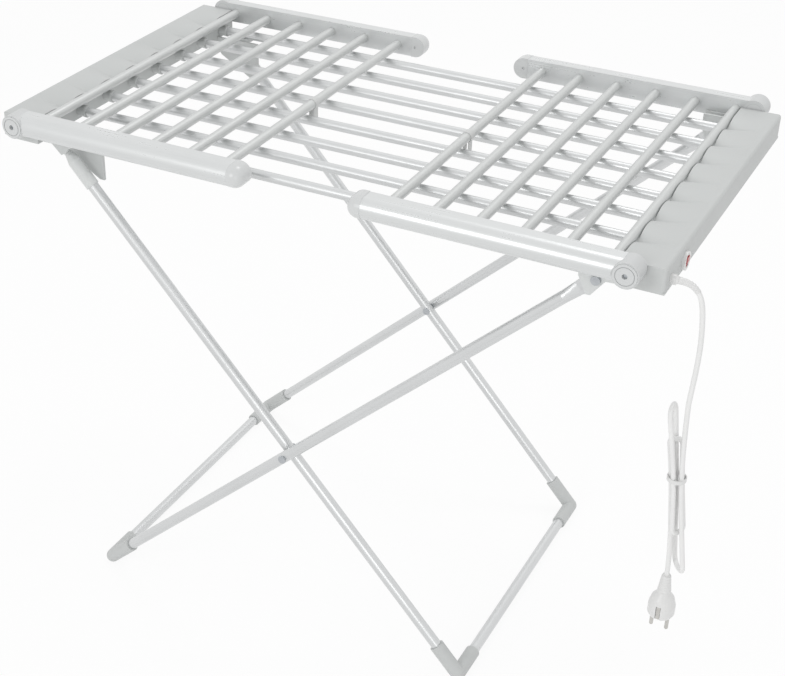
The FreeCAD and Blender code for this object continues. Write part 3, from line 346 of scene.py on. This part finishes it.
@dataclass(frozen=True)
class DrawnTube:
    """Satin tube: streaks the way it was drawn, cloudy anodising and small handling marks."""

    name: str
    tone: Colour
    shade: Colour
    roughness: float
    metal: float
    grain: Grain
    streak_along: float = 5.0
    streak_across: float = 700.0
    streak_detail: float = 2.0
    streak_depth: float = 0.000008
    streak_swing: float = 0.22
    cloud_repeats: float = 18.0
    cloud_swing: float = 0.16
    speck_repeats: float = 420.0
    speck_detail: float = 1.0
    speck_swing: float = 0.06
    cloud_share: float = 0.5
    streak_share: float = 0.5

    def build(self) -> bpy.types.Material:
        """Make the tube's metal.

        Returns:
            Its material.
        """
        material, graph = new_material(self.name)
        along, across = self.streak_along, self.streak_across
        repeats = (across, along, across) if self.grain.along_depth else (along, across, across)
        streak = graph.noise(repeats, self.streak_detail, self.grain.turn)
        cloud = graph.noise(self.cloud_repeats)
        speck = graph.noise(self.speck_repeats, self.speck_detail)
        tone = graph.mix(cloud * self.cloud_share + streak * self.streak_share, self.tone, self.shade)
        rough = (self.roughness + streak.swing(self.streak_swing) + cloud.swing(self.cloud_swing)
                 + speck.swing(self.speck_swing))
        graph.surface({"Base Color": tone, "Metallic": self.metal, "Roughness": rough,
                       "Normal": graph.bump(streak, self.streak_depth)})
        return material


@dataclass(frozen=True)
class PlatedMetal:
    """Plated small metal: cloudy plating with fine turning marks."""

    name: str
    tone: Colour
    shade: Colour
    roughness: float
    metal: float = 0.95
    cloud_repeats: float = 160.0
    mark_repeats: Point = (2600.0, 400.0, 2600.0)
    mark_detail: float = 2.0
    mark_swing: float = 0.3
    mark_depth: float = 0.00003

    def build(self) -> bpy.types.Material:
        """Make the plating.

        Returns:
            Its material.
        """
        material, graph = new_material(self.name)
        cloud = graph.noise(self.cloud_repeats)
        marks = graph.noise(self.mark_repeats, self.mark_detail)
        graph.surface({"Base Color": graph.mix(cloud, self.tone, self.shade), "Metallic": self.metal,
                       "Roughness": self.roughness + marks.swing(self.mark_swing),
                       "Normal": graph.bump(marks, self.mark_depth)})
        return material


@dataclass(frozen=True)
class SoftSheath:
    """Soft white sheath of the lead: faint ripples and a dull sheen."""

    name: str
    tone: Colour
    shade: Colour
    roughness: float = 0.42
    slow_repeats: float = 40.0
    fine_repeats: float = 900.0
    fine_detail: float = 2.0
    fine_swing: float = 0.2
    slow_height: float = 0.6
    fine_height: float = 0.4
    ripple: float = 0.00008

    def build(self) -> bpy.types.Material:
        """Make the sheath.

        Returns:
            Its material.
        """
        material, graph = new_material(self.name)
        slow = graph.noise(self.slow_repeats)
        fine = graph.noise(self.fine_repeats, self.fine_detail)
        height = fine * self.fine_height + slow * self.slow_height
        graph.surface({"Base Color": graph.mix(slow, self.tone, self.shade),
                       "Roughness": self.roughness + fine.swing(self.fine_swing),
                       "Normal": graph.bump(height, self.ripple)})
        return material


class Dressing:
    """Every finish of the airer, and which node wears which."""

    SILVER, SILVER_SHADE = (0.71, 0.72, 0.723), (0.60, 0.61, 0.613)
    FINISHES = (
        Moulding("grey_moulding", (0.60, 0.615, 0.61), (0.53, 0.545, 0.54), 0.5),
        HubMoulding("hub_moulding", (0.66, 0.672, 0.672), (0.59, 0.602, 0.602)),
        Moulding("pale_moulding", (0.69, 0.705, 0.70), (0.61, 0.625, 0.62), 0.45),
        Moulding("gloss_cap", (0.66, 0.672, 0.672), (0.60, 0.612, 0.612), 0.27, 0.00002, 0.35),
        DrawnTube("satin_side_tube", (0.73, 0.743, 0.743), (0.64, 0.653, 0.653), 0.33, 0.55,
                  Grain.LENGTH),
        DrawnTube("drawn_centre_bar", SILVER, SILVER_SHADE, 0.4, 0.75, Grain.LENGTH),
        DrawnTube("drawn_wing_bar", (0.655, 0.668, 0.662), (0.57, 0.583, 0.577), 0.42, 0.4,
                  Grain.DEPTH),
        DrawnTube("drawn_outer_leg", SILVER, SILVER_SHADE, 0.32, 0.9, Grain.OUTER_LEG),
        DrawnTube("drawn_inner_leg", SILVER, SILVER_SHADE, 0.32, 0.9, Grain.INNER_LEG),
        DrawnTube("drawn_foot_tube", SILVER, SILVER_SHADE, 0.34, 0.9, Grain.DEPTH),
        Moulding("pale_clip_plastic", (0.66, 0.665, 0.66), (0.58, 0.59, 0.585), 0.38),
        PlatedMetal("zinc_plate", (0.58, 0.60, 0.62), (0.40, 0.42, 0.44), 0.32),
        PlatedMetal("nickel_plate", (0.66, 0.65, 0.62), (0.50, 0.49, 0.47), 0.26),
        Moulding("white_plastic", (0.78, 0.78, 0.775), (0.71, 0.71, 0.705), 0.34, 0.00003, 0.15),
        Moulding("red_rocker", (0.52, 0.03, 0.035), (0.40, 0.018, 0.022), 0.28, 0.00002, 0.3),
        SoftSheath("white_sheath", (0.85, 0.85, 0.845), (0.79, 0.79, 0.785)),
        Moulding("silicone_sleeve", (0.70, 0.69, 0.64), (0.60, 0.59, 0.55), 0.6),
    )
    BY_ENDING = {
        "_hubs": "hub_moulding", "_brackets": "pale_moulding", "_hooks": "pale_moulding",
        "_end_caps": "gloss_cap", "_cross_tube": "drawn_foot_tube",
        "outer_legs": "drawn_outer_leg", "inner_legs": "drawn_inner_leg",
    }
    BY_SLOT = {
        "grey_plastic": "grey_moulding", "satin_tube": "satin_side_tube",
        "satin_aluminium": "drawn_centre_bar", "warm_bar": "drawn_wing_bar",
        "heating_cord": "silicone_sleeve", "pale_clip": "pale_clip_plastic", "zinc": "zinc_plate",
        "white_plastic": "white_plastic", "red_plastic": "red_rocker",
        "white_cord": "white_sheath", "nickel": "nickel_plate",
    }

    def __init__(self) -> None:
        """Make each finish once."""
        self.materials = {finish.name: finish.build() for finish in self.FINISHES}

    def finish_of(self, node: str, slot: str) -> str:
        """Choose a node's finish, by the end of its name or else by its slot.

        Args:
            node: the node's name.
            slot: its material slot in the record.

        Returns:
            The finish's name.
        """
        for ending, finish in self.BY_ENDING.items():
            if node.endswith(ending):
                return finish
        return self.BY_SLOT[slot]

    def wear(self, piece: bpy.types.Object, finish: str) -> None:
        """Give a piece one finish."""
        piece.data.materials.clear()
        piece.data.materials.append(self.materials[finish])

    def dress_nodes(self) -> None:
        """Give every node of the model its finish, in the record's order."""
        for entry in frame["record"]["subparts"]:
            node = entry["node"]
            finish = self.finish_of(node, entry["material_slot"])
            self.wear(frame["nodes"][node], finish)
            log.info("%s wears %s", node, finish)


def link(name: str, data: Any) -> bpy.types.Object:
    """Put a piece into the scene at the origin.

    Args:
        name: the piece's name.
        data: its mesh, curve, light or camera.

    Returns:
        The piece.
    """
    piece = bpy.data.objects.new(name, data)
    bpy.context.scene.collection.objects.link(piece)
    return piece


def grid_mesh(name: str, points: np.ndarray) -> bpy.types.Mesh:
    """A mesh from a grid of points, closed around each row, with a flat cap at both ends.

    Args:
        name: the mesh's name.
        points: rows along the path, points around each row, and X, Y and Z.

    Returns:
        The mesh, smooth shaded.
    """
    rows, around = points.shape[:2]
    index = np.arange(rows * around).reshape(rows, around)
    ahead = np.roll(index, -1, axis=1)
    quads = np.stack([index[:-1], ahead[:-1], ahead[1:], index[1:]], axis=-1).reshape(-1, 4)
    faces = quads.tolist() + [index[0, ::-1].tolist(), index[-1].tolist()]
    mesh = bpy.data.meshes.new(name)
    mesh.from_pydata(points.reshape(-1, 3).tolist(), [], faces)
    mesh.polygons.foreach_set("use_smooth", np.ones(len(faces), dtype=bool))
    mesh.update()
    return mesh


def turn_angles(count: int) -> np.ndarray:
    """Angles that share out a whole turn."""
    return np.linspace(0.0, 2 * np.pi, count, endpoint=False)


@dataclass(frozen=True)
class ReliefSizes:
    """Sizes of the strain relief; starts and ends of the grooves are shares of its reach."""

    reach: float = 0.024
    back: float = 0.0025
    radius: float = 0.0042
    taper: float = 0.0008
    groove_depth: float = 0.0004
    groove_count: int = 7
    groove_power: int = 6
    groove_start: float = 0.06
    groove_end: float = 0.9
    rows: int = 97
    around: int = 32


@dataclass(frozen=True)
class NeckSizes:
    """Sizes of the ribbed sleeve on the plug's neck."""

    drop: float = 0.0005
    length: float = 0.0235
    radius: float = 0.0051
    growth: float = 0.0028
    rib_height: float = 0.0006
    rib_count: int = 6
    rib_power: float = 0.7
    rows: int = 91
    around: int = 48


@dataclass
class MainsLead:
    """The white lead: from the gland down, through its tied hank, to the plug."""

    dressing: Dressing
    relief_sizes: ReliefSizes = ReliefSizes()
    neck_sizes: NeckSizes = NeckSizes()
    diameter: float = 0.006
    length: float = 1.156
    route: Tuple[Point, ...] = (
        (0.451, -0.220, 0.681), (0.461, -0.220, 0.681), (0.4705, -0.220, 0.675),
        (0.477, -0.2201, 0.6645), (0.481, -0.2204, 0.645), (0.4838, -0.2209, 0.612),
        (0.4836, -0.2216, 0.580), (0.482, -0.2225, 0.547))
    run_on: float = 3.0
    centre: Point = (0.481, -0.220, 0.431)
    strands: int = 5
    first_angle: float = -33.0
    step: float = 144.0
    waist: float = 0.0062
    lean_up: float = 0.14
    lean_down: float = 0.12
    loops: Tuple[Tuple[float, float], ...] = (
        (0.303, 0.0135), (0.525, 0.013), (0.357, 0.009), (0.482, 0.008))
    plug_top: float = 0.290
    plug_run: float = 0.034

    def strand_point(self, strand: int, distance: float, height: float) -> np.ndarray:
        """A point of a strand: the leaning axis, plus a distance at the strand's own angle.

        Args:
            strand: the strand's number.
            distance: how far from the axis.
            height: how high above the floor.

        Returns:
            X, Y and Z.
        """
        angle = math.radians(self.first_angle + strand * self.step)
        above = height - self.centre[2]
        lean = -(self.lean_up if above > 0 else self.lean_down) * above
        beside = (lean + distance * math.cos(angle), distance * math.sin(angle), above)
        return np.array(self.centre) + beside

    def neck_point(self) -> np.ndarray:
        """Where the last strand turns straight down into the plug."""
        return self.strand_point(self.strands - 1, self.waist, self.plug_top + self.plug_run)

    def points(self) -> np.ndarray:
        """The spline's control points.

        Returns:
            The free stretch, run on by a few diameters, then the hank's strands in turn with a point
            before and after each loop as far from its corner as the loop is wide, and the run into
            the plug.
        """
        free = [np.array(spot) for spot in self.route]
        down = (free[-1] - free[-2]) / np.linalg.norm(free[-1] - free[-2])
        found = free + [free[-1] + down * self.run_on * self.diameter]
        for strand in range(self.strands):
            middle = self.strand_point(strand, self.waist, self.centre[2])
            found.append(middle)
            if strand == len(self.loops):
                break
            height, distance = self.loops[strand]
            corner = self.strand_point(strand, distance, height)
            turn = self.strand_point(strand + 1, distance, height)
            onward = self.strand_point(strand + 1, self.waist, self.centre[2])
            width = np.linalg.norm(turn - corner)
            for start, end in ((corner, middle), (turn, onward)):
                run = end - start
                beside = start + run / np.linalg.norm(run) * width
                found += [beside, start] if start is corner else [start, beside]
        neck = self.neck_point()
        return np.array(found + [neck, np.array((neck[0], neck[1], self.plug_top))])

    def line(self, name: str, radius: float) -> bpy.types.Curve:
        """The lead's smooth line as a curve.

        Args:
            name: the curve's name.
            radius: the tube's radius, or 0 for the bare line.

        Returns:
            The curve.
        """
        points = self.points()
        curve = bpy.data.curves.new(name, "CURVE")
        curve.dimensions = "3D"
        curve.resolution_u = 10
        curve.bevel_depth = radius
        curve.bevel_resolution = 5
        curve.use_fill_caps = radius > 0
        spline = curve.splines.new("NURBS")
        spline.points.add(len(points) - 1)
        spline.points.foreach_set("co", np.column_stack([points, np.ones(len(points))]).ravel())
        spline.order_u = 3
        spline.use_endpoint_u = True
        return curve

    def centreline(self) -> np.ndarray:
        """Read points along the smooth line.

        Returns:
            The points, in order from the gland.
        """
        curve = self.line("bare_line", 0.0)
        bare = bpy.data.objects.new("bare_line", curve)
        mesh = bpy.data.meshes.new_from_object(bare)
        spots = np.empty(len(mesh.vertices) * 3)
        mesh.vertices.foreach_get("co", spots)
        bpy.data.objects.remove(bare)
        bpy.data.curves.remove(curve)
        bpy.data.meshes.remove(mesh)
        return spots.reshape(-1, 3)

    def relief(self) -> bpy.types.Object:
        """The ribbed strain relief on the lead's first stretch.

        A circle is carried along the smooth line; its radius falls in a straight line along the way,
        and shallow grooves, the sixth power of a cosine, go around it.

        Returns:
            The piece.
        """
        sizes = self.relief_sizes
        line = self.centreline()
        steps = np.linalg.norm(np.diff(line, axis=0), axis=1)
        along = np.concatenate([[0.0], np.cumsum(steps)])
        stations = np.linspace(0.0, sizes.reach, sizes.rows)
        path = np.column_stack([np.interp(stations, along, line[:, axis]) for axis in range(3)])
        tangent = np.gradient(path, axis=0)
        tangent /= np.linalg.norm(tangent, axis=1, keepdims=True)
        path[0] -= tangent[0] * sizes.back
        side = np.cross(tangent, (0.0, 1.0, 0.0))
        side /= np.linalg.norm(side, axis=1, keepdims=True)
        other = np.cross(tangent, side)
        share = stations / sizes.reach
        grooved = (share > sizes.groove_start) * (share < sizes.groove_end)
        grooves = np.cos(np.pi * sizes.groove_count * share) ** sizes.groove_power * grooved
        radius = sizes.radius - sizes.taper * share - sizes.groove_depth * grooves
        angle = turn_angles(sizes.around)[None, :, None]
        ring = np.cos(angle) * side[:, None, :] + np.sin(angle) * other[:, None, :]
        grid = path[:, None, :] + radius[:, None, None] * ring
        piece = link("strain_relief", grid_mesh("strain_relief", grid))
        self.dressing.wear(piece, "white_plastic")
        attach(piece, "centre_frame")
        return piece

    def neck_ribs(self) -> bpy.types.Object:
        """The ribbed sleeve on the plug's neck.

        A circle is carried straight down the plug's axis; its radius grows in a straight line with
        the neck, and rounded ribs, a power of a sine's size, go around it.

        Returns:
            The piece.
        """
        sizes = self.neck_sizes
        neck = self.neck_point()
        share = np.linspace(0.0, 1.0, sizes.rows)
        ribs = np.abs(np.sin(np.pi * sizes.rib_count * share)) ** sizes.rib_power
        radius = sizes.radius + sizes.growth * share + sizes.rib_height * ribs
        angle = turn_angles(sizes.around)
        height = self.plug_top - sizes.drop - sizes.length * share
        grid = np.empty((len(share), len(angle), 3))
        grid[..., 0] = neck[0] + radius[:, None] * np.cos(angle)
        grid[..., 1] = neck[1] - radius[:, None] * np.sin(angle)
        grid[..., 2] = height[:, None]
        piece = link("plug_neck_ribs", grid_mesh("plug_neck_ribs", grid))
        self.dressing.wear(piece, "white_plastic")
        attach(piece, "centre_frame")
        return piece

    def build(self) -> None:
        """Make the lead, its strain relief and the plug's ribs, in place of the model's plain cord."""
        lead = link("mains_lead", self.line("mains_lead", self.diameter / 2))
        self.dressing.wear(lead, "white_sheath")
        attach(lead, "centre_frame")
        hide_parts("mains_cord", "cord_hank")
        relief, ribs = self.relief(), self.neck_ribs()
        log.info("mains lead with %d points, strain relief, plug ribs", len(self.points()))


@dataclass(frozen=True)
class SoftLamp:
    """A soft square lamp: its place, what it faces, its side in metres and its power in watts."""

    name: str
    place: Point
    target: Point
    width: float
    watts: float

    def build(self) -> None:
        """Hang the lamp in its place and turn it to its target."""
        data = bpy.data.lights.new(self.name, "AREA")
        data.size = self.width
        data.energy = self.watts
        lamp = link(self.name, data)
        lamp.location = self.place
        facing = Vector(self.target) - Vector(self.place)
        lamp.rotation_euler = facing.to_track_quat("-Z", "Y").to_euler()


@dataclass
class Studio:
    """White floor, even white surroundings and three soft lamps."""

    half_width: float = 6.0
    floor_height: float = -0.0004
    floor_points: int = 3
    floor_repeats: float = 0.7
    floor_tones: Tuple[Colour, Colour] = ((0.93, 0.93, 0.93), (0.95, 0.95, 0.95))
    floor_glow: float = 0.9
    sky: float = 0.76
    lamps: Tuple[SoftLamp, ...] = (
        SoftLamp("front_soft_lamp", (-0.5, -2.36, 1.60), (0.1, -0.1, 0.6), 0.8, 10.0),
        SoftLamp("side_soft_lamp", (1.6, -2.5, 0.9), (0.1, 0.0, 0.5), 1.2, 6.0),
        SoftLamp("rear_soft_lamp", (0.2, 1.2, 3.0), (0.1, 0.0, 0.6), 0.8, 14.0))

    def floor_material(self) -> bpy.types.Material:
        """Matt white that keeps a shadow, and mostly glows where it is seen.

        Returns:
            The material.
        """
        material, graph = new_material("studio_floor")
        tone = graph.mix(graph.noise(self.floor_repeats), *self.floor_tones)
        matt = graph.add("ShaderNodeBsdfDiffuse", {}, {"Color": tone}).outputs[0]
        glow = graph.add("ShaderNodeEmission", {}, {"Color": WHITE, "Strength": 1.0}).outputs[0]
        share = graph.seen_share() * self.floor_glow
        mixed = graph.add("ShaderNodeMixShader", {}, {0: share, 1: matt, 2: glow}).outputs[0]
        graph.add("ShaderNodeOutputMaterial", {}, {"Surface": mixed})
        return material

    def floor(self) -> None:
        """A large flat floor just under the feet: a square grid with no height."""
        count = self.floor_points
        share = np.linspace(-self.half_width, self.half_width, count)
        x, y = np.meshgrid(share, share)
        corners = np.stack([x, y, np.full_like(x, self.floor_height)], axis=-1).reshape(-1, 3)
        index = np.arange(count * count).reshape(count, count)
        quads = np.stack([index[:-1, :-1], index[:-1, 1:], index[1:, 1:], index[1:, :-1]], axis=-1)
        mesh = bpy.data.meshes.new("studio_floor")
        mesh.from_pydata(corners.tolist(), [], quads.reshape(-1, 4).tolist())
        floor = link("studio_floor", mesh)
        floor.data.materials.append(self.floor_material())

    def surroundings(self) -> None:
        """White to the camera and in reflections, and a plain light level on the object."""
        world = bpy.data.worlds.new("white_room")
        bpy.context.scene.world = world
        world.use_nodes = True
        graph = Graph(world.node_tree)
        strength = graph.seen_share() * (1 - self.sky) + self.sky
        light = graph.add("ShaderNodeBackground", {}, {"Color": WHITE, "Strength": strength})
        graph.add("ShaderNodeOutputWorld", {}, {"Surface": light.outputs[0]})

    def build(self) -> None:
        """Put up the floor, the surroundings and the lamps."""
        self.floor()
        self.surroundings()
        for lamp in self.lamps:
            lamp.build()
        log.info("studio with floor and %d lamps", len(self.lamps))


@dataclass
class PhotoCamera:
    """The camera at the photograph's place; its focal length and middle are in pixels."""

    place: Point = (0.78997, -1.66243, 1.46310)
    yaw: float = 0.49069
    pitch: float = -0.56724
    roll: float = 0.0080
    focal: float = 1521.86
    middle: Tuple[float, float] = (323.55, 380.53)
    sensor_width: float = 36.0

    def build(self) -> None:
        """Make the camera and look through it."""
        data = bpy.data.cameras.new("photo_camera")
        camera = link("photo_camera", data)
        level = math.cos(self.pitch)
        ahead = Vector((-math.sin(self.yaw) * level, math.cos(self.yaw) * level,
                        math.sin(self.pitch)))
        right = ahead.cross(Vector((0.0, 0.0, 1.0))).normalized()
        up = right.cross(ahead)
        across = right * math.cos(self.roll) + up * math.sin(self.roll)
        upward = up * math.cos(self.roll) - right * math.sin(self.roll)
        turn = Matrix((across, upward, -ahead)).transposed().to_4x4()
        turn.translation = self.place
        camera.matrix_world = turn
        data.sensor_width = self.sensor_width
        data.lens = self.focal * self.sensor_width / IMAGE_WIDTH
        data.shift_x = (IMAGE_WIDTH / 2 - self.middle[0]) / IMAGE_WIDTH
        data.shift_y = (self.middle[1] - IMAGE_HEIGHT / 2) / IMAGE_WIDTH
        bpy.context.scene.camera = camera
        log.info("camera in place")


def main() -> None:
    """Build the airer's dressing in order."""
    logging.basicConfig(level=logging.INFO, format="%(name)s: %(message)s")
    PhotoCamera().build()
    dressing = Dressing()
    dressing.dress_nodes()
    MainsLead(dressing).build()
    Studio().build()
    bpy.context.scene.view_settings.view_transform = "Standard"


if __name__ == "__main__":
    main()
